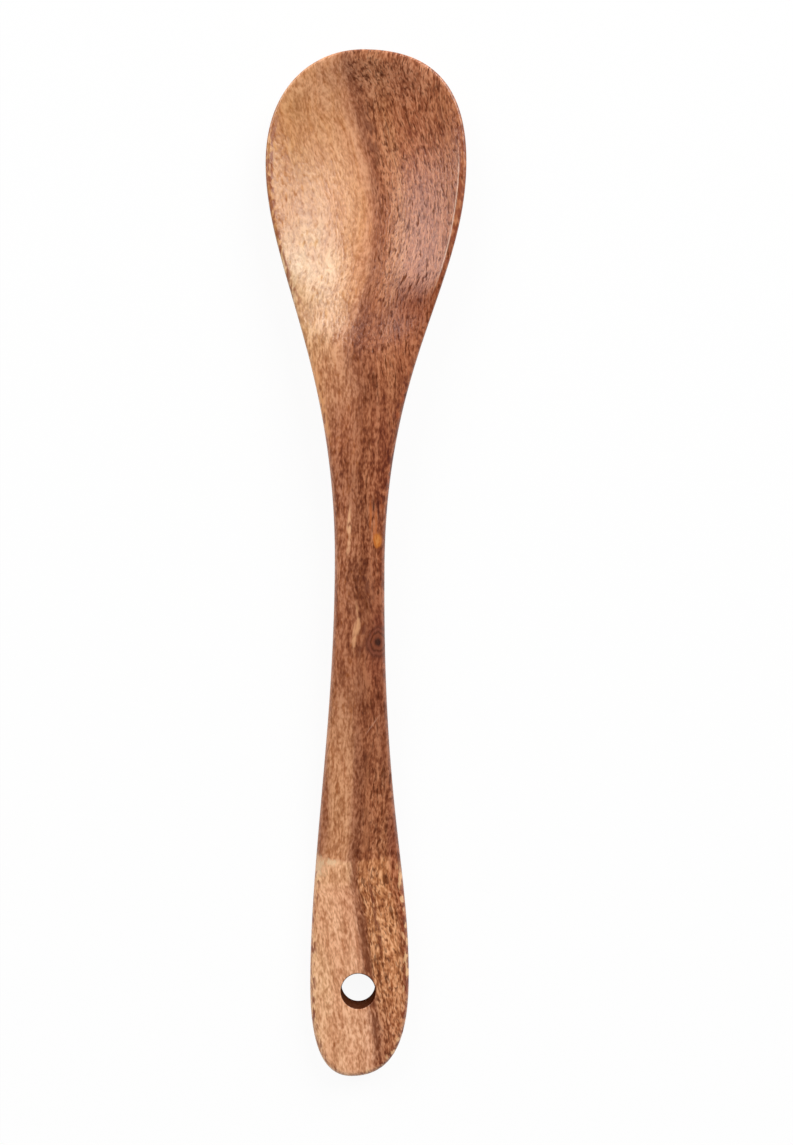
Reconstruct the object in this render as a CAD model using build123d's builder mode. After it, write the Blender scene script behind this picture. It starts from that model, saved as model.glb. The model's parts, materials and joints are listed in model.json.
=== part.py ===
from build123d import *
from math import cos, radians, sin, tan
import os

# A cooking spoon cut from one board of hardwood, in millimetres. The long axis is Y with the bowl's
# tip towards +Y, the bowl opens upwards along +Z, and X runs across. The spoon rests on the plane
# Z = 0 on the belly of its bowl and on the sole of its grip, and the origin lies on that plane,
# half way along.

# Outline seen from above
spoon_length = 300.0  # tip of the bowl to end of the grip
bowl_width = 58.4  # at the widest place of the bowl
bowl_from_tip = 33.0  # widest place of the bowl, back from the tip
neck_width = 14.5  # at the waist, the narrowest place
neck_from_tip = 150.0
grip_width = 29.0  # at the widest place of the grip
grip_from_end = 28.0  # widest place of the grip, in from the end

# The hand-cut outline isn't quite even: these places lie left of the middle
tip_lean = 0.8
neck_lean = 0.9
end_lean = 2.4
hole_lean = 0.35

# How far each stretch of a line keeps straight on from its first and from its second end, as shares
# of the stretch. In the outline the first pair is the right-hand side and the second the left.
tip_fullness = [(0.56, 0.78), (0.54, 0.66)]
cheek_fullness = [(0.30, 0.51), (0.26, 0.50)]
shaft_fullness = [(0.58, 0.27), (0.40, 0.32)]
end_fullness = [(0.78, 0.58), (0.54, 0.80)]
belly_tip_fullness = (0.55, 0.21)
belly_neck_fullness = (0.38, 0.50)
underside_fullness = (0.25, 0.15)
hollow_tip_fullness = (0.53, 0.24)
hollow_heel_fullness = (0.32, 0.16)

# Side view
bowl_pitch = 2.0  # degrees that the bowl's rim climbs towards the handle
shoulder_from_tip = 125.0  # where the rim's flat and the shaft's flat would meet
shoulder_radius = 500.0
crease_from_end = 64.0  # where the shaft's flat meets the grip's flat
crease_radius = 30.0
crease_thickness = 7.2
end_thickness = 9.0
neck_thickness = 9.5  # below the place where the rim's flat and the shaft's flat would meet
belly_tip_slope = 55.0  # degrees of the underside at the tip
belly_wear = 0.3  # wood worn off the round belly where it rests
sole_depth = 1.0  # wood taken off the round underside for the grip's flat sole
sole_from_end = 60.0  # where the sole's line starts
heel_from_end = 14.0  # where the underside starts to round up to the end
heel_radius = 33.0
heel_turn = 35.0  # degrees that the round is drawn through, past the end of the wood

# Bowl
hollow_depth = 8.0
floor_thickness = 4.2  # under the deepest place of the hollow
lip_thickness = 2.8  # height of the bowl's outer edge at its widest place
rim_width = 2.2  # wood between the hollow and the bowl's outer edge at its widest place
tip_rim_width = 3.2
hollow_heel_from_tip = 86.0  # where the hollow runs out towards the neck
hollow_tip_slope = 45.0  # degrees of the hollow's wall at its two ends
hollow_heel_slope = 36.0

# Hanging hole
hole_diameter = 10.0
hole_from_end = 25.1

# Edges
top_edge_radius = 1.0
bottom_edge_width = 1.0  # of the facet that is whittled off the lower edge
hole_edge_width = 0.3

# Room that a cut reaches past the wood
overrun = 4.0

# Places along the spoon
tip_y = spoon_length / 2
end_y = -spoon_length / 2
bowl_y = tip_y - bowl_from_tip
neck_y = tip_y - neck_from_tip
shoulder_y = tip_y - shoulder_from_tip
grip_y = end_y + grip_from_end
crease_y = end_y + crease_from_end
hole_y = end_y + hole_from_end

# Heights, worked out from the bowl's shell. The rim's flat climbs from the tip to the shoulder.
rim_height = floor_thickness + hollow_depth
rim_slope = tan(radians(bowl_pitch))
tip_height = rim_height - bowl_from_tip * rim_slope
shoulder_height = rim_height + (bowl_y - shoulder_y) * rim_slope

# The belly is round about a line along the spoon: its round passes through the resting line under
# the bowl and through the lower edges of the lip. The hollow is round about a line of its own.
lip_height = rim_height - lip_thickness
belly_radius = (bowl_width**2 / 4 + lip_height**2) / (2 * lip_height)
hollow_half_width = bowl_width / 2 - rim_width
hollow_radius = (hollow_half_width**2 + hollow_depth**2) / (2 * hollow_depth)


def heading(degrees_up, along=1):
    """Way of a line that climbs at a slope, towards the tip or, with along = -1, towards the end."""
    return Vector(along * cos(radians(degrees_up)), sin(radians(degrees_up)))


def stretch(start, start_way, end, end_way, fullness):
    """One smooth stretch of a line between two points. It leaves the first along start_way and
    comes in to the second against end_way, and keeps each way for a share of the stretch."""
    start, end = Vector(*start), Vector(*end)
    run = end - start
    first = start + start_way * (abs(run.dot(start_way)) * fullness[0])
    second = end + end_way * (abs(run.dot(end_way)) * fullness[1])
    Bezier(start, first, second, end)


def level_with_axis(axis_point, way, radius):
    """Plane for a side view that is turned about a line above it. It lies level beside the line
    instead of upright under it, so that half a turn sweeps round below with no seam there."""
    return Plane(
        origin=axis_point + Vector(radius, 0, 0), x_dir=way, z_dir=Vector(1, 0, 0).cross(way)
    )


with BuildPart() as spoon:
    # The board, sawn to the outline
    with BuildSketch(Plane.XY.offset(-sole_depth - overrun)):
        with BuildLine():
            for side, hand in ((1, 0), (-1, 1)):
                outwards, forwards, backwards = Vector(side, 0), Vector(0, 1), Vector(0, -1)
                tip = (-tip_lean, tip_y)
                cheek = (side * bowl_width / 2, bowl_y)
                waist = (side * neck_width / 2 - neck_lean, neck_y)
                palm = (side * grip_width / 2, grip_y)
                end = (-end_lean, end_y)
                stretch(tip, outwards, cheek, forwards, tip_fullness[hand])
                stretch(cheek, backwards, waist, forwards, cheek_fullness[hand])
                stretch(waist, backwards, palm, forwards, shaft_fullness[hand])
                stretch(palm, backwards, end, outwards, end_fullness[hand])
        make_face()
    extrude(amount=shoulder_height + sole_depth + 2 * overrun)

    # The top: the rim's flat, a long round shoulder, the shaft's flat and the grip's flat
    past_tip = tip_y + overrun
    past_end = end_y - overrun
    grip_slope = (end_thickness - crease_thickness) / crease_from_end
    with BuildSketch(Plane.YZ):
        with BuildLine():
            top = FilletPolyline(
                (past_tip, tip_height - overrun * rim_slope),
                (shoulder_y, shoulder_height),
                (crease_y, crease_thickness),
                (past_end, end_thickness + overrun * grip_slope),
                radius=[shoulder_radius, crease_radius],
            )
            underneath = -sole_depth - 2 * overrun
            Polyline(top @ 1, (past_end, underneath), (past_tip, underneath), top @ 0)
        make_face()
    extrude(amount=bowl_width, both=True, mode=Mode.INTERSECT)

    # The underside, round across its whole length: belly, neck, shaft, sole and heel
    forwards, backwards = Vector(1, 0), Vector(-1, 0)
    belly_end = Vector(tip_y, tip_height - lip_thickness)
    past_belly_end = belly_end + heading(belly_tip_slope) * overrun
    neck_low = (shoulder_y, shoulder_height - neck_thickness)
    sole_start = (end_y + sole_from_end, -sole_depth)
    heel_start = (end_y + heel_from_end, -sole_depth)
    belly_plane = level_with_axis(Vector(0, 0, belly_radius), Vector(0, 1, 0), belly_radius)
    with BuildSketch(belly_plane):
        with BuildLine():
            Line(past_belly_end, belly_end)
            belly = (bowl_y, -belly_wear)
            stretch(belly, forwards, belly_end, -heading(belly_tip_slope), belly_tip_fullness)
            stretch(belly, backwards, neck_low, forwards, belly_neck_fullness)
            stretch(neck_low, backwards, sole_start, forwards, underside_fullness)
            Line(sole_start, heel_start)
            heel = JernArc(heel_start, backwards, heel_radius, -heel_turn)
            Polyline(
                heel @ 1,
                ((heel @ 1).X, belly_radius),
                (past_belly_end.X, belly_radius),
                past_belly_end,
            )
        make_face()
    revolve(axis=Axis((0, 0, belly_radius), (0, 1, 0)), revolution_arc=180, mode=Mode.INTERSECT)

    # The outline's edges, rounded over above and whittled off below, all the way round
    side_wall = spoon.faces().filter_by(GeomType.EXTRUSION)
    tops = spoon.faces().filter_by(lambda face: face.normal_at().Z > 0.9)
    fillet(side_wall.edges() & tops.edges(), radius=top_edge_radius)
    side_wall = spoon.faces().filter_by(GeomType.EXTRUSION)
    undersides = spoon.faces().filter_by(lambda face: face.normal_at().Z < -0.2)
    chamfer(side_wall.edges() & undersides.edges(), length=bottom_edge_width)

    # The grip's sole and the worn patch of the belly, both flat on the resting plane
    split(bisect_by=Plane.XY, keep=Keep.TOP)

    # The hollow of the bowl, drawn along the rim's flat
    rim_way = heading(-bowl_pitch)
    along_rim = Vector(0, rim_way.X, rim_way.Y)
    square_to_rim = Vector(1, 0, 0).cross(along_rim)
    hollow_axis_height = hollow_radius - hollow_depth
    axis_point = Vector(0, bowl_y, rim_height) + square_to_rim * hollow_axis_height
    hollow_tip = Vector(bowl_from_tip - tip_rim_width, 0)
    hollow_heel = Vector(bowl_from_tip - hollow_heel_from_tip, 0)
    tip_wall, heel_wall = heading(hollow_tip_slope), heading(hollow_heel_slope, -1)
    with BuildSketch(level_with_axis(axis_point, along_rim, hollow_axis_height)):
        with BuildLine():
            floor = (0, -hollow_depth)
            above_tip = hollow_tip + tip_wall * overrun
            above_heel = hollow_heel + heel_wall * overrun
            Line(above_tip, hollow_tip)
            stretch(floor, forwards, hollow_tip, -tip_wall, hollow_tip_fullness)
            stretch(floor, backwards, hollow_heel, -heel_wall, hollow_heel_fullness)
            Polyline(
                hollow_heel,
                above_heel,
                (above_heel.X, hollow_axis_height),
                (above_tip.X, hollow_axis_height),
                above_tip,
            )
        make_face()
    revolve(axis=Axis(axis_point, along_rim), revolution_arc=180, mode=Mode.SUBTRACT)

    # The hanging hole, drilled through the grip and eased at both mouths
    with Locations((-hole_lean, hole_y)):
        Hole(radius=hole_diameter / 2)
    mouths = spoon.edges(Select.LAST).filter_by(GeomType.LINE, reverse=True)
    chamfer(mouths, length=hole_edge_width)

spoon.part.label = "spoon"
os.makedirs("parts", exist_ok=True)
export_step(spoon.part, "parts/spoon.step")
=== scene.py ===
import json
from math import ceil, cos, radians, sin, tan

import bmesh
import bpy
import numpy as np
from mathutils import Matrix, Vector


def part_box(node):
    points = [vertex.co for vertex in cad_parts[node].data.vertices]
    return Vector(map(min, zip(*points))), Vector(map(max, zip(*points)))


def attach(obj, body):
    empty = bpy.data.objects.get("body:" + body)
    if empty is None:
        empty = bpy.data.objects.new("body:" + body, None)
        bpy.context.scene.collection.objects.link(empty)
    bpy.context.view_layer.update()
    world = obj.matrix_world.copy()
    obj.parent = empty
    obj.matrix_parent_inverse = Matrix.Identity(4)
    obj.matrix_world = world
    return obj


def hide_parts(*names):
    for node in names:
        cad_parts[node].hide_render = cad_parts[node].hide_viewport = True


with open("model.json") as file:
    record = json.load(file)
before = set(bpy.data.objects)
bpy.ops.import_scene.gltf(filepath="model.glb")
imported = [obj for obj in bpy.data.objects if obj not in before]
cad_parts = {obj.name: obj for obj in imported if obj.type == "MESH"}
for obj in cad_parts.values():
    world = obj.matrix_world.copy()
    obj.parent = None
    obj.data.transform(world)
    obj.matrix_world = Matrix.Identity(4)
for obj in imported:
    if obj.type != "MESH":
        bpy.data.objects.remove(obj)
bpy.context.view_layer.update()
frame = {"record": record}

# The looks of a cooking spoon cut from one board of acacia. Lengths are in millimetres until a mesh
# is made. The long axis is Y with the bowl's tip towards +Y, and the bowl opens upwards along +Z.

MM = 0.001
low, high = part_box("spoon")
hole = next(m for m in frame["record"]["mounts"] if m["name"] == "hanging_hole")

# Outline seen from above
tip_y = high.y / MM
end_y = low.y / MM
bowl_width = 58.4
bowl_from_tip = 33.0
neck_width = 14.5
neck_from_tip = 150.0
grip_width = 29.0
grip_from_end = 28.0
tip_lean = 0.8
neck_lean = 0.9
end_lean = 2.4

# How far each stretch of a line keeps straight on from its two ends, as shares of the stretch. In
# the outline the first pair is the right-hand side and the second the left.
tip_fullness = [(0.56, 0.78), (0.54, 0.66)]
cheek_fullness = [(0.30, 0.51), (0.26, 0.50)]
shaft_fullness = [(0.58, 0.27), (0.40, 0.32)]
end_fullness = [(0.78, 0.58), (0.54, 0.80)]
belly_tip_fullness = (0.55, 0.21)
belly_neck_fullness = (0.38, 0.50)
underside_fullness = (0.25, 0.15)
hollow_tip_fullness = (0.53, 0.24)
hollow_heel_fullness = (0.32, 0.16)

# Side view
bowl_pitch = 2.0
shoulder_from_tip = 125.0
shoulder_drop = 0.74  # wood rounded off where the rim's flat and the shaft's flat would meet
crease_from_end = 64.0
crease_rise = 0.03
shaft_crown = 0.0014  # the shaft's top is a little round across, so that the crease is bent
crown_x = -2.0
crown_half_width = 7.5  # where the round lies at the height of the flat
crown_zone = (40, 0)  # along the spoon, from where the round sets in to where it is full
crease_thickness = 7.2
end_thickness = 9.0
neck_thickness = 9.5
belly_tip_slope = 55.0
belly_wear = 0.3
sole_depth = 1.0
sole_from_end = 60.0
heel_from_end = 14.0
heel_radius = 33.0

# Bowl
hollow_depth = 8.0
floor_thickness = 4.2
lip_thickness = 2.8
rim_width = 2.2
tip_rim_width = 3.2
hollow_heel_from_tip = 86.0
hollow_tip_slope = 45.0
hollow_heel_slope = 36.0

# Edges, rounded by hand with sandpaper: fuller along the handle than round the bowl
bowl_edge_radius = 1.0
handle_edge_radius = 1.9
bottom_edge_radius = 2.6
edge_zone = (20, 70)  # along the spoon, from the handle's edge to the bowl's
rim_softness = 0.16  # of the hollow's rim along its right side, which was left crisp
left_softness = 0.45  # added along its left side, its tip and its heel, which are sanded softer
tip_softness = 0.75
heel_softness = 1.1
left_zone = (0, -16)  # across the spoon, from where the softness sets in to where it is full
tip_zone = (106, 140)  # along the spoon, and so is the next
heel_zone = (86, 70)
hole_radius = hole["dims"]["r_mm"]
hole_x = hole["pos_m"][0] / MM
hole_y = hole["pos_m"][1] / MM
hole_edge_radius = 0.5

# Slow waves left in the hollow: height, lengths across and along over 2 pi, and start
hollow_waves = [(0.035, 5.1, 13.0, 0.0), (0.045, -9.0, 17.0, 1.3)]

bowl_y = tip_y - bowl_from_tip
neck_y = tip_y - neck_from_tip
shoulder_y = tip_y - shoulder_from_tip
grip_y = end_y + grip_from_end
crease_y = end_y + crease_from_end
rim_height = floor_thickness + hollow_depth
rim_slope = tan(radians(bowl_pitch))
tip_height = rim_height - bowl_from_tip * rim_slope
shoulder_height = rim_height + (bowl_y - shoulder_y) * rim_slope
shaft_slope = (shoulder_height - crease_thickness) / (shoulder_y - crease_y)
grip_slope = (crease_thickness - end_thickness) / crease_from_end
lip_height = rim_height - lip_thickness
belly_radius = (bowl_width**2 / 4 + lip_height**2) / (2 * lip_height)
hollow_half_width = bowl_width / 2 - rim_width
hollow_radius = (hollow_half_width**2 + hollow_depth**2) / (2 * hollow_depth)
hollow_axis_height = hollow_radius - hollow_depth
past_wood = 2.0  # reach of a line past the end of the wood
past_wall = 12.0  # reach of the hollow's two walls above its rim
least_square = 1.0  # that keeps the root of a round real beyond its width

# How the surface is divided
neck_row_y = 55.0  # rows run across the handle between these two places, and rays go out elsewhere
grip_row_y = -98.0
row_columns = 30
step = 1.1  # round the outline and along the handle
top_round_points = 8
bottom_round_points = 9
slope_reach = 1.6  # how far in from the edge the underside's slope is taken
wall_share = 0.92  # of the edge's height that the lower round may use
bowl_middle_y = bowl_y - 8.0  # where the bowl's rays start
belly_ray_points = 40
rim_search = (0.3, 1, 500)  # shares of a ray where the hollow's rim is looked for, and tries
near_rim = 1.6  # width inside the rim that is closely divided
inner_points = 34
near_points = 9
outer_points = 11
outer_crowding = 1.5  # over 1, points lie closer to the rim than to the edge
hole_ray_points = 22
mouth_points = 6
hole_wall_points = 9
same_place = 0.001  # points closer than this are merged
no_length = 0.0001  # and shorter edges than this are dissolved


def heading(degrees_up, along=1):
    """Way of a line that climbs, towards the tip or, with along = -1, towards the end."""
    return np.array([along * cos(radians(degrees_up)), sin(radians(degrees_up))])


def stretch(start, start_way, end, end_way, fullness, count=600):
    """A cubic curve between two points. It leaves the first along start_way and comes in to the
    second against end_way, and keeps each way for a share of the distance along that way."""
    start, end, start_way, end_way = (np.array(v, float) for v in (start, end, start_way, end_way))
    run = end - start
    first = start + start_way * abs(run @ start_way) * fullness[0]
    second = end + end_way * abs(run @ end_way) * fullness[1]
    t = np.linspace(0, 1, count)[:, None]
    u = 1 - t
    return u**3 * start + 3 * t * u**2 * first + 3 * t**2 * u * second + t**3 * end


def half_outline(side, hand):
    """One side of the outline, from the tip to the end, as four smooth stretches."""
    tip = (-tip_lean, tip_y)
    cheek = (side * bowl_width / 2, bowl_y)
    waist = (side * neck_width / 2 - neck_lean, neck_y)
    palm = (side * grip_width / 2, grip_y)
    end = (-end_lean, end_y)
    outwards, forwards, backwards = (side, 0), (0, 1), (0, -1)
    return np.vstack(
        [
            stretch(tip, outwards, cheek, forwards, tip_fullness[hand]),
            stretch(cheek, backwards, waist, forwards, cheek_fullness[hand])[1:],
            stretch(waist, backwards, palm, forwards, shaft_fullness[hand])[1:],
            stretch(palm, backwards, end, outwards, end_fullness[hand])[1:],
        ]
    )


class Outline:
    """The closed outline, walked from the end up the left side to the tip and down the right."""

    def __init__(self):
        right, left = half_outline(1, 0), half_outline(-1, 1)
        self.points = np.vstack([left[::-1], right[1:]])
        steps = np.hypot(*np.diff(self.points, axis=0).T)
        self.walk = np.concatenate([[0], np.cumsum(steps)])
        self.total = self.walk[-1]
        tangent = np.gradient(self.points, self.walk, axis=0)
        tangent[0] = tangent[-1] = (-1, 0)
        tangent /= np.hypot(*tangent.T)[:, None]
        self.inward = np.stack([tangent[:, 1], -tangent[:, 0]], 1)
        self.left = len(left)

    def at(self, walk):
        """Points on the outline and the ways inwards from it, at lengths walked round it."""
        walk = np.mod(walk, self.total)
        point = np.stack([np.interp(walk, self.walk, self.points[:, k]) for k in (0, 1)], -1)
        way = np.stack([np.interp(walk, self.walk, self.inward[:, k]) for k in (0, 1)], -1)
        return point, way / np.linalg.norm(way, axis=-1, keepdims=True)

    def left_walk(self, y):
        """Length walked to a place along the spoon on its left side."""
        return np.interp(y, self.points[: self.left, 1], self.walk[: self.left])

    def right_walk(self, y):
        """Length walked to a place along the spoon on its right side."""
        return np.interp(-y, -self.points[self.left - 1 :, 1], self.walk[self.left - 1 :])


outline = Outline()


def profile(*curves):
    """Side-view curves joined into one line of heights over places, in rising order."""
    line = np.vstack(curves)
    return line[np.argsort(line[:, 0], kind="stable")]


def belly_profile():
    """The underside's middle line: belly, neck, sole and the round heel."""
    belly = (bowl_y, -belly_wear)
    belly_end = (tip_y, tip_height - lip_thickness)
    neck_low = (shoulder_y, shoulder_height - neck_thickness)
    sole_start = (end_y + sole_from_end, -sole_depth)
    heel_y = end_y + heel_from_end
    heel_places = np.linspace(end_y - past_wood, heel_y, 200)
    heel_rise = heel_radius - np.sqrt(heel_radius**2 - (heel_y - heel_places) ** 2)
    heel = np.stack([heel_places, -sole_depth + heel_rise], 1)
    forwards, backwards = (1, 0), (-1, 0)
    return profile(
        heel,
        stretch(neck_low, backwards, sole_start, forwards, underside_fullness),
        stretch(belly, backwards, neck_low, forwards, belly_neck_fullness),
        stretch(belly, forwards, belly_end, -heading(belly_tip_slope), belly_tip_fullness),
    )


def hollow_profile():
    """The hollow's floor line along the rim's flat, from the heel's wall to the tip's wall."""
    floor = (0, -hollow_depth)
    hollow_tip = np.array([bowl_from_tip - tip_rim_width, 0])
    hollow_heel = np.array([bowl_from_tip - hollow_heel_from_tip, 0])
    tip_wall, heel_wall = heading(hollow_tip_slope), heading(hollow_heel_slope, -1)
    return profile(
        [hollow_heel + heel_wall * past_wall],
        stretch(floor, (-1, 0), hollow_heel, -heel_wall, hollow_heel_fullness),
        stretch(floor, (1, 0), hollow_tip, -tip_wall, hollow_tip_fullness),
        [hollow_tip + tip_wall * past_wall],
    )


belly_line = belly_profile()
hollow_line = hollow_profile()


def soft_min(a, b, softness):
    """The lower of two heights, with the corner between them rounded off as a hyperbola."""
    return (a + b) / 2 - np.sqrt(((a - b) / 2) ** 2 + softness**2)


def flats(x, y):
    """The rim's flat, the shaft's flat, crowned a little as a parabola across, and the grip's flat.
    A round shoulder and a crease join them."""
    rim = rim_height + (bowl_y - y) * rim_slope
    crown = shaft_crown * (crown_half_width**2 - (x - crown_x) ** 2)
    shaft = crease_thickness + (y - crease_y) * shaft_slope + crown * smooth(y, *crown_zone)
    grip = crease_thickness + (y - crease_y) * grip_slope
    handle = -soft_min(-shaft, -grip, crease_rise)
    return soft_min(rim, handle, shoulder_drop)


def hollow(x, y):
    """Height of the hollow: a round about an axis that leans with the rim, whose radius at each
    place is the axis's height over the hollow's floor line. The place along the leaning axis goes
    by the height itself, so it is worked out a few times over."""
    c, s = cos(radians(bowl_pitch)), sin(radians(bowl_pitch))
    z = np.full(np.broadcast(x, y).shape, rim_height, float)
    for _ in range(4):
        place = (y - bowl_y) * c - (z - rim_height) * s
        reach = hollow_axis_height - np.interp(place, hollow_line[:, 0], hollow_line[:, 1])
        below = hollow_axis_height - np.sqrt(np.maximum(reach**2 - x**2, least_square))
        z = rim_height + (below - (y - bowl_y) * s) / c
    return z


def smooth(value, start, end):
    """Rises from 0 at start to 1 at end, level at both."""
    share = np.clip((value - start) / (end - start), 0, 1)
    return share * share * (3 - 2 * share)


def top_height(x, y):
    """The carved top: the flats with the hollow and its slow waves sunk in them."""
    sunk = hollow(x, y)
    for rise, across, along, start in hollow_waves:
        sunk = sunk + rise * np.sin(x / across + y / along + start)
    softness = (
        rim_softness
        + left_softness * smooth(x, *left_zone)
        + tip_softness * smooth(y, *tip_zone)
        + heel_softness * smooth(y, *heel_zone)
    )
    return soft_min(flats(x, y), sunk, softness)


def bottom_height(x, y):
    """The underside: a round about the belly's axis through the middle line, worn flat at 0."""
    reach = belly_radius - np.interp(y, belly_line[:, 0], belly_line[:, 1])
    z = belly_radius - np.sqrt(np.maximum(reach**2 - x**2, least_square))
    return np.maximum(z, 0.0)


def edge_radius(y):
    """Radius of the top edge: small round the bowl, fuller from the neck down."""
    return handle_edge_radius + (bowl_edge_radius - handle_edge_radius) * smooth(y, *edge_zone)


def edge_strip(walk):
    """The wood's edge at places round the outline: a quarter round from the top, an upright wall,
    and a round that runs tangent into the underside. Columns go from the top to the underside."""
    point, way = outline.at(walk)
    radius = edge_radius(point[:, 1])
    columns = []
    for turn in np.radians(np.linspace(0, 90, top_round_points)):
        depth = radius * (1 - np.sin(turn))
        place = point + way * depth[:, None]
        drop = radius * (1 - np.cos(turn))
        columns.append(np.column_stack([place, top_height(*place.T) - drop]))
    inner = point + way * slope_reach
    edge_z = bottom_height(*point.T)
    slope = (edge_z - bottom_height(*inner.T)) / slope_reach
    bottom_turn = np.pi / 2 - np.arctan(slope)
    room = columns[-1][:, 2] - edge_z
    low_radius = np.minimum(bottom_edge_radius, wall_share * room / np.tan(bottom_turn / 2))
    setback = low_radius * np.tan(bottom_turn / 2)
    for share in np.linspace(0, 1, bottom_round_points):
        turn = bottom_turn * share
        depth = low_radius * (1 - np.cos(turn))
        place = point + way * depth[:, None]
        arc = edge_z + setback - low_radius * np.sin(turn)
        line = edge_z - slope * depth
        z = bottom_height(*place.T) + arc - line
        columns.append(np.column_stack([place, z]))
    return np.stack(columns, 1)


def grid_faces(rows, cols, start, closed=False):
    """Four-sided faces over a grid of points that is numbered row by row."""
    i = np.arange(rows if closed else rows - 1)[:, None]
    j = np.arange(cols - 1)[None, :]
    a = i * cols + j
    b = (i + 1) % rows * cols + j
    return start + np.stack([a, a + 1, b + 1, b], -1).reshape(-1, 4)


class Sheets:
    """Grids of points gathered into one mesh, whose doubles are merged at the end."""

    def __init__(self):
        self.points, self.faces, self.count = [], [], 0

    def add(self, grid, closed=False):
        rows, cols, _ = grid.shape
        self.faces.append(grid_faces(rows, cols, self.count, closed))
        self.points.append(grid.reshape(-1, 3))
        self.count += rows * cols

    def mesh(self, name):
        mesh = bpy.data.meshes.new(name)
        points = np.vstack(self.points) * MM
        faces = np.vstack(self.faces)
        mesh.vertices.add(len(points))
        mesh.vertices.foreach_set("co", points.ravel())
        mesh.loops.add(faces.size)
        mesh.loops.foreach_set("vertex_index", faces.ravel())
        mesh.polygons.add(len(faces))
        mesh.polygons.foreach_set("loop_start", np.arange(0, faces.size, 4))
        mesh.polygons.foreach_set("loop_total", np.full(len(faces), 4))
        mesh.update(calc_edges=True)
        made = bmesh.new()
        made.from_mesh(mesh)
        bmesh.ops.remove_doubles(made, verts=made.verts, dist=same_place * MM)
        bmesh.ops.dissolve_degenerate(made, dist=no_length * MM, edges=made.edges)
        bmesh.ops.recalc_face_normals(made, faces=made.faces)
        made.to_mesh(mesh)
        made.free()
        mesh.polygons.foreach_set("use_smooth", np.ones(len(mesh.polygons), bool))
        mesh.update()
        return mesh


def along_rays(start, ring, shares):
    """Points on straight rays from one start, or from one for each ray, to a ring, at shares of
    the way."""
    return start + (ring[:, None, :] - start) * shares[..., None]


def build_spoon():
    """The spoon's surface: rays from the middle of the bowl, rows along the neck and shaft, and
    rays round the hanging hole, on the top and on the underside, closed by the edge all round."""
    sheets = Sheets()
    row_count = ceil((neck_row_y - grip_row_y) / step)
    row_places = np.linspace(grip_row_y, neck_row_y, row_count)
    left = outline.left_walk(row_places)
    right = outline.right_walk(row_places[::-1])
    bowl_count = int((right[0] - left[-1]) / step)
    bowl = np.linspace(left[-1], right[0], bowl_count)
    end_count = int((outline.total - right[-1] + left[0]) / step)
    end = np.linspace(right[-1], outline.total + left[0], end_count)
    walk = np.concatenate([left, bowl[1:-1], right, end[1:-1]])
    strip = edge_strip(walk)
    sheets.add(strip, closed=True)
    n_left, n_bowl = len(left), len(bowl) - 2
    left_part = slice(0, n_left)
    right_part = slice(n_left + n_bowl, 2 * n_left + n_bowl)

    for edge, height in ((0, top_height), (-1, bottom_height)):
        ring = strip[:, edge, :2]
        lefts, rights = ring[left_part], ring[right_part][::-1]
        across = np.linspace(0, 1, row_columns)[None, :, None]
        rows = lefts[:, None] + (rights - lefts)[:, None] * across
        sheets.add(np.dstack([rows, height(rows[..., 0], rows[..., 1])]))

        neck_row, grip_row = rows[-1], rows[0]
        bowl_ring = np.vstack([ring[n_left - 1 : n_left + n_bowl + 1], neck_row[::-1][1:-1]])
        sheets.add(bowl_rays(bowl_ring, height, sunk=edge == 0), closed=True)

        end_ring = np.vstack([ring[2 * n_left + n_bowl - 1 :], ring[:1], grip_row[1:-1]])
        if edge == 0:
            ways = end_ring - np.array([hole_x, hole_y])
            ways /= np.hypot(*ways.T)[:, None]
        sheets.add(hole_rays(end_ring, ways, height), closed=True)

    sheets.add(hole_wall(ways), closed=True)
    return sheets.mesh("spoon_body")


def bowl_rays(ring, height, sunk):
    """Rays from the middle of the bowl. On the top they are divided closely at the hollow's rim,
    which is where the hollow's round comes up through the flats."""
    centre = np.array([0.0, bowl_middle_y])
    if not sunk:
        shares = np.linspace(0, 1, belly_ray_points)[None, :]
        plan = along_rays(centre, ring, np.repeat(shares, len(ring), 0))
        return np.dstack([plan, height(plan[..., 0], plan[..., 1])])
    tries = np.linspace(*rim_search)
    plan = along_rays(centre, ring, np.repeat(tries[None], len(ring), 0))
    x, y = plan[..., 0], plan[..., 1]
    above = hollow(x, y) > flats(x, y)
    above[:, -1] = True
    rim = tries[np.argmax(above, 1)]
    for _ in range(3):  # evened out between neighbours
        rim = (np.roll(rim, 1) + rim + np.roll(rim, -1)) / 3
    length = np.hypot(*(ring - centre).T)
    to_near = np.linspace(0, 1, inner_points)[None, :]
    in_near = np.linspace(-near_rim, 0, near_points)[None, 1:]
    to_edge = np.linspace(0, 1, outer_points)[None, 1:] ** outer_crowding
    inner = to_near * (rim - near_rim / length)[:, None]
    near = rim[:, None] + in_near / length[:, None]
    outer = rim[:, None] + (1 - rim)[:, None] * to_edge
    shares = np.hstack([inner, near, outer])
    plan = along_rays(centre, ring, shares)
    return np.dstack([plan, height(plan[..., 0], plan[..., 1])])


def hole_rays(ring, ways, height):
    """Rays from the eased mouth of the hanging hole to the grip's edge and its first row."""
    mouth = np.array([hole_x, hole_y]) + ways * (hole_radius + hole_edge_radius)
    shares = np.repeat(np.linspace(0, 1, hole_ray_points)[None, :], len(ring), 0)
    plan = along_rays(mouth[:, None], ring, shares)
    return np.dstack([plan, height(plan[..., 0], plan[..., 1])])


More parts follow.
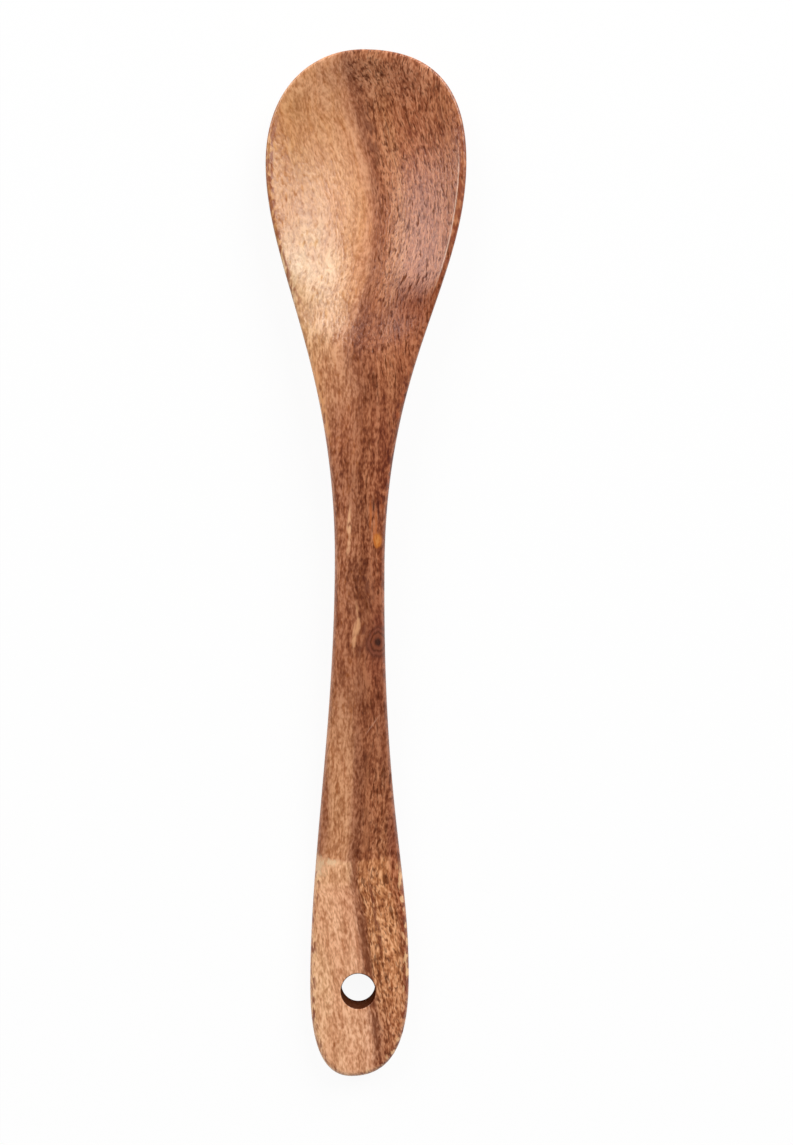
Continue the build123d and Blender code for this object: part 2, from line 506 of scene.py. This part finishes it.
def hole_wall(ways):
    """The hole from its top mouth to its bottom one: a quarter round, the bored wall, and another
    quarter round."""
    centre = np.array([hole_x, hole_y])
    mouth = centre + ways * (hole_radius + hole_edge_radius)
    rounds = []
    for height, sign, first, last in ((top_height, -1, 0, 90), (bottom_height, 1, 90, 0)):
        for turn in np.radians(np.linspace(first, last, mouth_points)):
            place = centre + ways * (hole_radius + hole_edge_radius * (1 - np.sin(turn)))
            z = height(*mouth.T) + sign * hole_edge_radius * (1 - np.cos(turn))
            rounds.append(np.column_stack([place, z]))
    upper, lower = rounds[mouth_points - 1], rounds[mouth_points]
    shares = np.linspace(0, 1, hole_wall_points)[1:-1]
    wall = [upper + (lower - upper) * share for share in shares]
    return np.stack(rounds[:mouth_points] + wall + rounds[mouth_points:], 1)


def linear(hex_colour):
    """The linear colour of an sRGB hex value."""
    values = [int(hex_colour[i : i + 2], 16) / 255 for i in (1, 3, 5)]
    straight = [v / 12.92 if v <= 0.04045 else ((v + 0.055) / 1.055) ** 2.4 for v in values]
    return (*straight, 1.0)


def add_node(tree, kind, inputs=None, **settings):
    """One node with its settings, and its inputs given as values or as the sockets linked to."""
    node = tree.nodes.new(kind)
    for name, value in settings.items():
        setattr(node, name, value)
    for name, value in (inputs or {}).items():
        if isinstance(value, bpy.types.NodeSocket):
            tree.links.new(value, node.inputs[name])
        else:
            node.inputs[name].default_value = value
    return node


# Line of the heartwood's left boundary at the resting plane's height: millimetres to the right of
# the middle line at places along the spoon. Higher up the boundary lies further left.
boundary_lean = 0.66
knot_swell = 1.7  # that the fibres are pushed aside beside the knot
crease_bend = shaft_crown / (shaft_slope - grip_slope)  # of the crease, where flats and crown meet
boundary_line = [
    (-150, 11.0),
    (-138, 9.8),
    (-126, 8.2),
    (-112, 6.2),
    (-98, 3.5),
    (-89, 1.9),
    (-80, 3.1),
    (-62, 4.5),
    (-38, 5.8),
    (-22, 6.2),
    (-14, 7.6),
    (-5, 6.8),
    (10, 7.6),
    (35, 8.0),
    (50, 7.7),
    (62, 6.6),
    (76, 5.4),
    (87, 6.6),
    (98, 6.4),
    (113, 4.6),
    (128, 1.3),
    (140, -0.1),
    (150, 1.0),
]

# Colours across the board at millimetres from that boundary: pale sapwood left of it, the dark line
# at it, and banded heartwood to the right. The first is the wood of the bowl and the grip, the
# second the darker wood of the neck, which also carries painted shade on the shaft and neck.
pale_bands = [
    (-30, "#c98a58"),
    (-25, "#cf945f"),
    (-18, "#cf9460"),
    (-12, "#d69a6a"),
    (-8, "#dea274"),
    (-4, "#da9c70"),
    (-1.5, "#d0916a"),
    (-0.2, "#a66949"),
    (1.4, "#9e6040"),
    (3.6, "#ab6843"),
    (6.5, "#c27e55"),
    (9.0, "#be7b51"),
    (12.0, "#b56d46"),
    (15.5, "#b36b46"),
    (19.0, "#b66d48"),
    (23.0, "#ba724c"),
    (30, "#ad663e"),
]
dark_bands = [
    (-15, "#bd7c50"),
    (-10, "#aa6a46"),
    (-6.5, "#a26142"),
    (-3.5, "#a05f40"),
    (-1.4, "#9c5d3e"),
    (0.0, "#915335"),
    (2.2, "#915131"),
    (4.5, "#975435"),
    (7.5, "#985232"),
    (11.0, "#8a4728"),
    (15, "#8a4826"),
]

# Colours of the knot, at millimetres out from its eye
knot_bands = [
    (0, "#2e120a"),
    (0.6, "#36160c"),
    (1.1, "#7e4029"),
    (1.5, "#8a4a30"),
    (1.9, "#582613"),
    (2.4, "#8a4a34"),
    (2.9, "#602c1a"),
    (3.6, "#7f4029"),
]

# Contrast of the fibres along the spoon, left and right of the boundary
sapwood_contrast = [
    (-150, 0.45),
    (-110, 0.45),
    (-92, 0.44),
    (-60, 0.42),
    (-20, 0.44),
    (10, 0.54),
    (45, 0.44),
    (72, 0.40),
    (90, 0.31),
    (115, 0.29),
    (150, 0.38),
]
heartwood_contrast = [
    (-150, 0.66),
    (-110, 0.66),
    (-90, 0.56),
    (-60, 0.44),
    (-20, 0.42),
    (10, 0.58),
    (45, 0.44),
    (70, 0.36),
    (95, 0.36),
    (120, 0.42),
    (150, 0.46),
]

# How dark the wood is along the spoon, from the pale wood of the bowl and grip to the dark neck:
# partly darker wood, and partly painted shade that steps in at the crease
darkness_line = [
    (-150, 0.0),
    (-89.4, 0.0),
    (-87.4, 0.12),
    (-86.6, 0.34),
    (-80, 0.38),
    (-66, 0.46),
    (-48, 0.66),
    (-30, 0.88),
    (-14, 0.95),
    (4, 0.92),
    (24, 1.0),
    (42, 0.88),
    (54, 0.52),
    (64, 0.50),
    (73, 0.20),
    (82, 0.0),
    (150, 0.0),
]

# Single streaks: millimetres from the boundary and along the spoon, half width, half length, depth
# and colour
strokes = [
    (-2.6, 9.8, 0.9, 10.5, 0.95, "#efb487"),  # two pale torn ones in the neck
    (-0.9, -18.5, 0.9, 9.5, 0.90, "#e2a577"),
    (0.7, -22, 1.0, 7.0, 0.75, "#6f3420"),  # dark wood beside the lower one and above the knot
    (3.2, -7, 1.8, 8.0, 0.75, "#6a3422"),
    (2.4, 72, 2.4, 9.0, 0.65, "#7a4028"),  # the dark line where it is darkest, in the bowl
    (2.6, 126, 2.6, 12.0, 0.65, "#7a442c"),
    (0.6, -112, 1.6, 58.0, 0.28, "#743c20"),  # and in the grip
    (0.9, -123, 1.7, 32.0, 0.75, "#743c20"),
    (3.4, -72, 1.7, 24.0, 0.55, "#bc7850"),  # a paler line beside it in the shaft
    (5.2, -102, 0.9, 17.0, 0.80, "#743620"),  # a second dark line in the grip
    (27.8, 134, 1.1, 14.0, 0.60, "#6a2c14"),  # and one near the bowl's right edge
]

# Places of marks, each across and along the spoon, and their half sizes
torn_floor_place, torn_floor_size = (14, 75), (14, 14)
# Painted highlights at the crease's left end
crease_highlights = [((-12.0, -88.6), (1.7, 3.8)), ((-8.2, -87.7), (2.0, 1.1))]
through_the_board = 1000  # half size that makes a mark reach through the board

full_gloss = 0.5  # where nothing dulls the oil
relief_height = 0.05  # that fibres and pores are raised or sunk
mark_step = 0.8  # round the outline, for measuring how far off it is
far_from_rim = 3.0  # height beyond which the rim is no longer near
handle_from_y = 50.0  # from here to the end there is no rim


def share_where(tree, depth, *ranges):
    """A share that rises smoothly from 0 to depth as each of its values goes through its range."""
    share = depth
    for value, start, end in ranges:
        inputs = {"Value": value, 1: start, 2: end, 3: 0.0, 4: share}
        rise = add_node(tree, "ShaderNodeMapRange", inputs, interpolation_type="SMOOTHSTEP")
        share = rise.outputs[0]
    return share


def stains(tree, colour, *layers):
    """A colour with others laid over it, one after another. Each layer is a colour, its depth, and
    the values that it sets in with, each with its range."""
    for over, depth, *ranges in layers:
        over = linear(over) if isinstance(over, str) else over
        inputs = {0: share_where(tree, depth, *ranges), 6: colour, 7: over}
        colour = add_node(tree, "ShaderNodeMix", inputs, data_type="RGBA").outputs[2]
    return colour


def sums(tree, *terms):
    """Sum of terms, each a value and what it is multiplied by."""
    total = None
    for value, factor in terms:
        inputs = {0: value, 1: factor}
        if total is None:
            node = add_node(tree, "ShaderNodeMath", inputs, operation="MULTIPLY")
        else:
            node = add_node(tree, "ShaderNodeMath", inputs | {2: total}, operation="MULTIPLY_ADD")
        total = node.outputs[0]
    return total


def line_value(tree, value, points):
    """A smooth line through points, read at a value."""
    xs, ys = zip(*points)
    x0, x1, y0, y1 = min(xs), max(xs), min(ys), max(ys)
    share = add_node(tree, "ShaderNodeMapRange", {"Value": value, 1: x0, 2: x1, 3: 0.0, 4: 1.0})
    line = add_node(tree, "ShaderNodeFloatCurve", {"Value": share.outputs[0]})
    curve = line.mapping.curves[0]
    while len(curve.points) < len(points):
        curve.points.new(0.5, 0.5)
    for point, (x, y) in zip(curve.points, points):
        point.location = ((x - x0) / (x1 - x0), (y - y0) / (y1 - y0))
        point.handle_type = "AUTO_CLAMPED"
    line.mapping.update()
    inputs = {"Value": line.outputs[0], 1: 0.0, 2: 1.0, 3: y0, 4: y1}
    return add_node(tree, "ShaderNodeMapRange", inputs).outputs[0]


def bands(tree, value, stops):
    """Colours at millimetres across the board, or out from the knot's eye."""
    x0, x1 = stops[0][0], stops[-1][0]
    share = add_node(tree, "ShaderNodeMapRange", {"Value": value, 1: x0, 2: x1, 3: 0.0, 4: 1.0})
    ramp = add_node(tree, "ShaderNodeValToRGB", {0: share.outputs[0]})
    elements = ramp.color_ramp.elements
    while len(elements) < len(stops):
        elements.new(1.0)
    for element, (x, colour) in zip(elements, stops):
        element.position = (x - x0) / (x1 - x0)
        element.color = linear(colour)
    return ramp.outputs[0]


def grain(tree, place, width, length, seed, detail=1):
    """Uneven value, mostly between -1 and 1, whose spots have a width across and through the board
    and a length along it, in millimetres."""
    shift = (seed * 3.7, seed * 1.3, seed * 5.1)
    inputs = {0: place, 1: (1 / width, 1 / length, 1 / width), 2: shift}
    scaled = add_node(tree, "ShaderNodeVectorMath", inputs, operation="MULTIPLY_ADD")
    inputs = {"Vector": scaled.outputs[0], "Scale": 1.0, "Detail": detail, "Roughness": 0.55}
    noise = add_node(tree, "ShaderNodeTexNoise", inputs)
    inputs = {"Value": noise.outputs[0], 1: 0.3, 2: 0.7, 3: -1.0, 4: 1.0}
    return add_node(tree, "ShaderNodeMapRange", inputs, clamp=False).outputs[0]


def oval(tree, place, centre, size, turn=0.0):
    """Distance from a centre, seen from above, as a share of a half width across the board and a
    half length along it."""
    inputs = {
        "Vector": place,
        "Location": (*centre, 0),
        "Rotation": (0, 0, radians(turn)),
        "Scale": (*size, through_the_board),
    }
    turned = add_node(tree, "ShaderNodeMapping", inputs, vector_type="TEXTURE").outputs[0]
    return add_node(tree, "ShaderNodeVectorMath", {0: turned}, operation="LENGTH").outputs[1]


class Board:
    """What the wood's colours are worked out from: places in the board, in millimetres, and uneven
    values that follow its fibres."""

    def __init__(self, tree):
        inputs = {0: add_node(tree, "ShaderNodeTexCoord").outputs["Object"], 1: (1 / MM,) * 3}
        place = add_node(tree, "ShaderNodeVectorMath", inputs, operation="MULTIPLY").outputs[0]
        x, y, z = add_node(tree, "ShaderNodeSeparateXYZ", {0: place}).outputs
        self.place, self.x, self.y, self.z = place, x, y, z
        self.from_edge, self.above_rim = (
            add_node(tree, "ShaderNodeAttribute", attribute_name=name).outputs["Fac"]
            for name in ("from_edge", "above_rim")
        )
        self.from_hole = oval(tree, place, (hole_x, hole_y), (hole_radius, hole_radius))
        self.torn_floor = oval(tree, place, torn_floor_place, torn_floor_size)
        self.ragged = grain(tree, place, 1.6, 6, seed=2, detail=2)
        self.wavy = grain(tree, place, 4.0, 12, seed=12)

        # Across the board, from the boundary. The fibres follow it, and swell round the knot.
        boundary = line_value(tree, y, boundary_line)
        beside_knot = (oval(tree, place, (3.4, -22.0), (6.5, 10.0)), 1.0, 0.0)
        swell = share_where(tree, knot_swell, beside_knot)
        wander = grain(tree, place, 9, 30, seed=1, detail=2)
        from_line = ((x, 1.0), (boundary, -1.0), (z, boundary_lean), (swell, -1.0), (wander, 0.5))
        across_fibres = sums(tree, *from_line)
        self.across = sums(tree, (across_fibres, 1.0), (self.ragged, 0.22))
        self.heart = share_where(tree, 1.0, (self.across, -1.4, 1.4))
        self.lines = add_node(tree, "ShaderNodeCombineXYZ", {0: self.across, 1: y}).outputs[0]

        # Along the board, measured so that the bent crease is one line
        aside = sums(tree, (x, 1.0), (1.0, -crown_x))
        bend = sums(tree, (aside, aside))
        self.along_crease = sums(tree, (bend, -crease_bend), (y, 1.0), (self.ragged, 0.25))
        self.darkness = line_value(tree, self.along_crease, darkness_line)

        # Fibres of all sizes. The short ones are ticks along the board and dots across it.
        bent = sums(tree, (across_fibres, 1.0), (self.wavy, 0.18))
        fibre = add_node(tree, "ShaderNodeCombineXYZ", {0: bent, 1: y, 2: z}).outputs[0]
        self.short = grain(tree, fibre, 0.62, 1.6, seed=8)
        self.middling = grain(tree, fibre, 1.7, 8, seed=16)
        self.fine = grain(tree, fibre, 0.80, 20, seed=4)
        self.broad = grain(tree, fibre, 2.8, 60, seed=3, detail=2)
        self.clouds = grain(tree, fibre, 5, 13, seed=13, detail=2)
        self.honey = grain(tree, fibre, 1.7, 24, seed=17)
        self.gaps = grain(tree, fibre, 1.0, 3.2, seed=14)
        self.flecks = grain(tree, fibre, 1.2, 2.4, seed=9)
        # Where painted glints lie along the edges
        self.glints = grain(tree, fibre, 1.2, 3.0, seed=10)
        self.russet = grain(tree, fibre, 1.2, 3.0, seed=11)

        # Pores. Real ones are 0.2 mm wide, and are drawn twice as wide, or they wouldn't show.
        self.pores = grain(tree, fibre, 0.60, 1.7, seed=5)
        self.long_pores = grain(tree, fibre, 0.80, 5.0, seed=6)


def broad_colours(tree, at):
    """The wood's bands, pale in the bowl and the grip and darker in the neck, partly by painted
    shade, and patches made lighter or darker: some by hands and torn fibres, some painted light and
    sheen."""

    def patch(centre, size, full):
        return oval(tree, at.place, centre, size), 1, full

    grip = (at.along_crease, -86.4, -87.6)
    shaft = (at.along_crease, -87.6, -86.4)
    past_crease = ((at.along_crease, -87.0, -88.0), (at.y, -97, -92))
    sap_of_grip = (at.across, 0.4, -1.2)
    heart_of_grip = ((at.across, 1.3, 2.8), (at.across, 13, 9), (at.y, -140, -118))
    side_of_grip = ((at.from_edge, 4.0, 0.8), (at.x, 4, 8), (at.y, -134, -122))
    sap_of_shaft = ((at.across, -0.3, -2.2), (at.across, -9.5, -7), (at.y, -24, -70))
    side_of_shaft = ((at.from_edge, 4.5, 1.5), (at.x, 1, 4), (at.y, 2, -8), (at.y, -90, -82))
    return stains(
        tree,
        bands(tree, at.across, pale_bands),
        (bands(tree, at.across, dark_bands), at.darkness),
        # The grip is painted paler than the bowl, most of all at its left and just past the crease:
        # painted light for the grip's flat, which faces the lamps more than the shaft does
        ("#f2b690", 0.44, grip, sap_of_grip),
        ("#f8c898", 0.32, patch((-12, -127), (5.5, 24), 0.3)),
        ("#f6c090", 0.60, *past_crease, (at.across, 0.8, -1.5)),
        # The shaft's two sides, dark from hands
        ("#8c4a30", 0.72, patch((-11.5, -72), (4.2, 24), 0.4)),
        ("#8c4630", 0.50, patch((9.6, -79), (2.6, 15), 0.4)),
        # The grip's heartwood is paler in its middle, the shaft's sapwood is paler all along, and
        # the right side of both is dark
        ("#eca870", 0.41, grip, *heart_of_grip),
        ("#8a4526", 0.55, grip, *side_of_grip),
        ("#e0a070", 0.45, *sap_of_shaft, shaft),
        ("#70301c", 0.45, *side_of_shaft),
        # The dark start of the neck, below the hollow's heel
        ("#84462a", 0.50, patch((1.0, 68), (12, 12), 0.3)),
        # Pale sapwood in the left of the bowl, with painted sheen on it, creamy where the right
        # softbox's reflection is brightest
        ("#e4bd8c", 0.65, patch((-15, 82), (14, 32), 0.1)),
        ("#f4dab2", 0.50, patch((-23, 81), (9, 18), 0.1)),
        ("#7c3c26", 0.56, (at.torn_floor, 1.1, 0.1)),
        # The tip is painted a little paler: painted light against the shade on its wall, which is
        # turned away from the lamps
        ("#e8a078", 0.22, (at.y, 133, 141)),
        # Dark places of the neck: left of its start, in its left side, and round the knot
        ("#84462a", 0.32, patch((-2.5, 61), (6, 13), 0.3)),
        ("#7c4428", 0.45, patch((-4.5, 27), (5.5, 9), 0.2)),
        ("#7a3424", 0.55, patch((4.4, -25), (5.0, 14), 0.4)),
        # Clouds everywhere, and honey-coloured streaks in the bowl's sapwood
        ("#c4764c", 0.22, (at.clouds, -0.6, 0.8)),
        ("#cb854c", 0.35, (at.honey, -0.3, 0.9), (at.across, 0, -3), (at.y, 60, 80)),
    )


def fibre_shades(tree, at, colour):
    """Short fibres, long streaks and broad ones, lighter and darker than the wood round them. Dark
    ones are also redder than light ones."""
    inputs = {
        0: at.heart,
        2: line_value(tree, at.y, sapwood_contrast),
        3: line_value(tree, at.y, heartwood_contrast),
    }
    contrast = add_node(tree, "ShaderNodeMix", inputs, data_type="FLOAT").outputs[0]
    streak_share = share_where(tree, 1.0, (at.darkness, -1.3, 1.0))
    streaks = sums(tree, (sums(tree, (at.fine, 0.65), (at.broad, 0.65)), streak_share))
    texture = sums(tree, (at.short, 1.0), (at.middling, 0.55), (streaks, 0.7))
    # No fibre is much lighter than its neighbours
    inputs = {0: texture, 1: 0.75, 2: 0.9}
    texture = add_node(tree, "ShaderNodeMath", inputs, operation="SMOOTH_MIN").outputs[0]
    shade = sums(tree, (texture, contrast))
    redder = sums(tree, (1.0, 1.0), (shade, -0.45))
    colour = add_node(tree, "ShaderNodeGamma", {0: colour, 1: redder}).outputs[0]
    inputs = {0: sums(tree, (shade, 0.6))}
    lighter = add_node(tree, "ShaderNodeMath", inputs, operation="EXPONENT").outputs[0]
    inputs = {0: colour, "Scale": lighter}
    return add_node(tree, "ShaderNodeVectorMath", inputs, operation="SCALE").outputs[0]


def pore_lines(tree, at, colour):
    """Pores, faint in the sapwood and dark in the heartwood, and weaker in the dark neck."""
    in_heart = ((at.across, -2, 2), (at.darkness, 1.5, 0.3))
    return stains(
        tree,
        colour,
        ("#9a5526", 0.35, (at.pores, 0.25, 0.95), (at.across, 2, -2)),
        ("#5c240a", 0.70, (at.pores, 0.10, 0.95), *in_heart),
        ("#4a1a0a", 0.65, (at.long_pores, 0.45, 1.0), (at.across, -1, 3)),
    )


def single_marks(tree, at, colour):
    """The strokes, broken by gaps, the knot's rings round its dark eye, the amber gum with split
    fibres running up from it, and a scratch. Gum and split fibres don't reach the underside."""
    for across, along, width, length, depth, over in strokes:
        stroke = oval(tree, at.lines, (across, along), (width, length))
        colour = stains(tree, colour, (over, depth, (stroke, 1.0, 0.3), (at.gaps, -0.8, 0.4)))

    from_eye = oval(tree, at.place, (4.7, -22.6), (1.15, 1.5))
    rings = sums(tree, (from_eye, 1.0), (at.ragged, 0.30), (at.wavy, 0.35))
    near_top = (at.z, 7, 10)
    split = ((oval(tree, at.place, (3.0, 13.0), (2.9, 8.0)), 1.0, 0.4), near_top)
    split_fibres = grain(tree, at.place, 0.7, 9, seed=15)
    from_gum = oval(tree, at.place, (4.2, 6.9), (1.4, 2.3))
    gum = sums(tree, (from_gum, 1.0), (at.ragged, 0.16), (at.short, 0.15))
    scratch = oval(tree, at.place, (3.2, -46.8), (0.25, 4.8), turn=-35)
    return stains(
        tree,
        colour,
        (bands(tree, rings, knot_bands), 0.92, (rings, 4.1, 2.6)),
        ("#c96f38", 0.60, *split, (split_fibres, 0.15, 0.7)),
        ("#3f1206", 0.85, *split, (split_fibres, -0.15, -0.7)),
        ("#c9702a", 0.95, (gum, 1.15, 0.6), near_top),
        ("#e89a50", 0.60, (gum, 1.0, 0.4), (at.short, -0.2, 0.6), near_top),
        ("#c9957c", 0.40, (scratch, 1.0, 0.4)),
    )


def edge_wear_and_painted_light(tree, at, colour):
    """Red-brown flecks on the rim, a painted highlight along the hollow's right arris, painted
    glints and flecks of russet along the edges, a faint painted highlight along the handle's edges,
    painted highlights at the crease's left end, and the hole's wall, dark from its end grain and
    from painted shade."""
    rim_band = ((at.above_rim, -0.1, 0.25), (at.y, 138, 122), (at.y, 64, 84))
    arris = ((at.above_rim, -0.16, -0.02), (at.above_rim, 0.14, 0.0), (at.x, 2, 8))
    grip_edge = ((at.from_edge, 2.4, 0.9), (at.y, -86, -92))
    right_edge = ((at.from_edge, 3.6, 1.2), (at.x, 1, 4), (at.y, 4, 16), (at.y, 64, 50))
    left_edge = ((at.from_edge, 2.2, 0.8), (at.y, 32, 42), (at.y, 66, 56), (at.x, -2, -6))
    crease = ((at.along_crease, -86.8, -87.3), (at.along_crease, -88.8, -87.8), (at.x, -2, -8))
    colour = stains(
        tree,
        colour,
        ("#8a4022", 0.75, *rim_band, (at.flecks, -0.5, 0.3)),
        # Painted highlight: a pale line along the hollow's right arris
        ("#f4cdb0", 0.60, *arris, (at.y, 74, 92), (at.y, 124, 112)),
        # Painted highlight: a faint pale band along the handle's edges
        ("#d09a7c", 0.12, (at.from_edge, 1.5, 0.3), (at.y, 70, 48)),
        # Painted glints on the fibres of the edges, beside the russet flecks of the wood itself
        ("#f6c28e", 0.80, *grip_edge, (at.glints, 0.1, 0.7)),
        ("#7c3015", 0.80, *grip_edge, (at.russet, 0.1, 0.8)),
        ("#5c2010", 0.75, *right_edge, (at.russet, -0.1, 0.6)),
        ("#b8623a", 0.50, *right_edge, (at.glints, 0.35, 0.9)),
        ("#eba873", 0.80, *left_edge, (at.glints, -0.2, 0.5)),
        # Painted highlight along the crease's left part, and below, painted highlights at its left
        # end
        ("#f3c492", 0.20, *crease),
    )
    for centre, size in crease_highlights:
        from_spot = oval(tree, at.place, centre, size)
        spot = sums(tree, (from_spot, 1.0), (at.fine, 0.3), (at.short, 0.55))
        colour = stains(tree, colour, ("#fbdab0", 0.50, (spot, 1.0, 0.2)))
    # The hole's wall, dark: its end grain, and painted shade inside the bore
    return stains(tree, colour, ("#4a1c08", 0.95, (at.from_hole, 1.06, 1.02)))


def oiled_acacia():
    """Acacia, sawn, whittled and sanded by hand, then rubbed with oil. It shows long streaks and
    short dark pore lines along the board, a dark line where the pale sapwood meets the heartwood,
    and the low gloss of oil that has soaked in."""
    wood = bpy.data.materials.new("oiled_acacia")
    wood.use_nodes = True
    tree = wood.node_tree
    at = Board(tree)
    colour = broad_colours(tree, at)
    for finish in (fibre_shades, pore_lines, single_marks, edge_wear_and_painted_light):
        colour = finish(tree, at, colour)

    roughness = sums(tree, (0.26, 1.0), (at.fine, 0.03))
    # The hole's dark wall, the torn floor of the hollow and open pores have little gloss or none
    dull = ((at.from_hole, 1.02, 1.06), (at.torn_floor, -0.3, 1.1))
    open_pores = ((at.pores, 1.7, 0.3), (at.long_pores, 1.4, 0.4))
    gloss = share_where(tree, full_gloss, *dull, *open_pores)
    relief = sums(tree, (at.short, 0.25), (at.fine, 0.15), (at.pores, -0.25), (at.long_pores, -0.3))
    inputs = {"Strength": 0.6, "Distance": relief_height * MM, "Height": relief}
    bump = add_node(tree, "ShaderNodeBump", inputs).outputs[0]
    surface = tree.nodes["Principled BSDF"].inputs
    surface["IOR"].default_value = 1.5
    for name, value in (
        ("Base Color", colour),
        ("Roughness", roughness),
        ("Specular IOR Level", gloss),
        ("Normal", bump),
    ):
        tree.links.new(value, surface[name])
    return wood


def mark_edges(mesh):
    """Stores how far each point is from the outline, seen from above, and how far the hollow's
    round lies above the flats there, both in millimetres. The second is 0 at the hollow's rim, and
    deep below it on the handle and the underside."""
    points = np.empty(len(mesh.vertices) * 3)
    mesh.vertices.foreach_get("co", points)
    x, y, z = points.reshape(-1, 3).T / MM
    ring, _ = outline.at(np.arange(0, outline.total, mark_step))
    nearest = np.full(len(x), np.inf)
    for part in np.array_split(ring, 8):  # in parts, to spare memory
        away = np.hypot(x[:, None] - part[:, 0], y[:, None] - part[:, 1])
        nearest = np.minimum(nearest, away.min(1))
    above = np.clip(hollow(x, y) - flats(x, y), -far_from_rim, far_from_rim)
    below = z < (top_height(x, y) + bottom_height(x, y)) / 2
    above[(y < handle_from_y) | below] = -far_from_rim
    for name, values in (("from_edge", nearest), ("above_rim", above)):
        mesh.attributes.new(name, "FLOAT", "POINT").data.foreach_set("value", values)


mesh = build_spoon()
mark_edges(mesh)
spoon = bpy.data.objects.new("spoon_body", mesh)
bpy.context.scene.collection.objects.link(spoon)
mesh.materials.append(oiled_acacia())
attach(spoon, "root")
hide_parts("spoon")

# Studio and camera, in metres here
floor_reach = 3.0
softboxes = (("right_softbox", 1.40, 1.87, 66), ("left_softbox", -1.55, 1.80, 42))  # x, y, watts
softbox_height = 1.85
softbox_size = (1.9, 1.5)
ceiling_light = 0.2
wall_light = 1.0
room_light = 0.26  # that the white room gives the wood
wall_top = (0.46, 0.24)  # climb of a line of sight to the ceiling's end and to the full wall
paper_white = 0.93  # share of the paper that is plain white to the camera, the rest takes shadow
camera_place = (0, -0.00242, 0.440)
camera_turn = 0.4555  # degrees
focal_length = 46.43  # millimetres, as the sensor's width
sensor_width = 36
lens_shift = 0.0295  # of the picture, as a share of the sensor's width


def seen_rays(tree):
    """1 for the rays that see the background: the camera's, and those that gloss and glass send."""
    path = add_node(tree, "ShaderNodeLightPath").outputs
    seen = path["Is Camera Ray"]
    for kind in ("Is Glossy Ray", "Is Transmission Ray"):
        inputs = {0: seen, 1: path[kind]}
        seen = add_node(tree, "ShaderNodeMath", inputs, operation="MAXIMUM").outputs[0]
    return seen


def white_table():
    """The floor: a sheet of white paper that keeps the spoon's shadow."""
    corners = np.array([(-1, -1, 0), (1, -1, 0), (1, 1, 0), (-1, 1, 0)]) * floor_reach
    mesh = bpy.data.meshes.new("floor")
    mesh.from_pydata(corners.tolist(), [], [(0, 1, 2, 3)])
    floor = bpy.data.objects.new("floor", mesh)
    bpy.context.scene.collection.objects.link(floor)
    paper = bpy.data.materials.new("white_paper")
    paper.use_nodes = True
    tree = paper.node_tree
    tree.nodes.clear()
    diffuse = add_node(tree, "ShaderNodeBsdfDiffuse", {"Color": linear("#fbfbfa")})
    white = add_node(tree, "ShaderNodeEmission", {"Color": (1, 1, 1, 1), "Strength": 1.0})
    share = sums(tree, (seen_rays(tree), paper_white))
    inputs = {0: share, 1: diffuse.outputs[0], 2: white.outputs[0]}
    mixed = add_node(tree, "ShaderNodeMixShader", inputs)
    add_node(tree, "ShaderNodeOutputMaterial", {"Surface": mixed.outputs[0]})
    mesh.materials.append(paper)


def white_room():
    """The world: white walls under a dim ceiling, which the wood's gloss mirrors."""
    world = bpy.data.worlds.new("studio")
    bpy.context.scene.world = world
    world.use_nodes = True
    tree = world.node_tree
    way = add_node(tree, "ShaderNodeTexCoord").outputs["Generated"]
    climb = add_node(tree, "ShaderNodeSeparateXYZ", {0: way}).outputs["Z"]
    walls = share_where(tree, 1.0, (climb, *wall_top))
    seen = sums(tree, (ceiling_light, 1.0), (walls, wall_light - ceiling_light))
    inputs = {"Factor": seen_rays(tree), "A": room_light, "B": seen}
    strength = add_node(tree, "ShaderNodeMix", inputs, data_type="FLOAT").outputs[0]
    background = tree.nodes["Background"].inputs
    background["Color"].default_value = (1, 1, 1, 1)
    tree.links.new(strength, background["Strength"])


def soft_boxes():
    """Two large lamps beyond the bowl, turned to the middle of the spoon. The right one is the
    stronger: it lights the left wall of the hollow."""
    for name, x, y, watts in softboxes:
        lamp = bpy.data.lights.new(name, "AREA")
        lamp.shape = "RECTANGLE"
        lamp.size, lamp.size_y = softbox_size
        lamp.energy = watts
        softbox = bpy.data.objects.new(name, lamp)
        bpy.context.scene.collection.objects.link(softbox)
        softbox.location = (x, y, softbox_height)
        way = softbox.location.normalized()
        beside = Vector((0, 1, 0)).cross(way).normalized()
        turn = Matrix((beside, way.cross(beside), way)).transposed()
        softbox.rotation_euler = turn.to_euler()


def photographer():
    """The camera, straight above the handle's middle line and turned a little about its axis."""
    lens = bpy.data.cameras.new("camera")
    lens.sensor_width = sensor_width
    lens.lens = focal_length
    lens.shift_x = lens_shift
    lens.clip_start = 0.01
    camera = bpy.data.objects.new("camera", lens)
    bpy.context.scene.collection.objects.link(camera)
    camera.location = camera_place
    camera.rotation_euler = (0, 0, radians(camera_turn))
    bpy.context.scene.camera = camera
    bpy.context.scene.view_settings.view_transform = "Standard"


white_table()
white_room()
soft_boxes()
photographer()
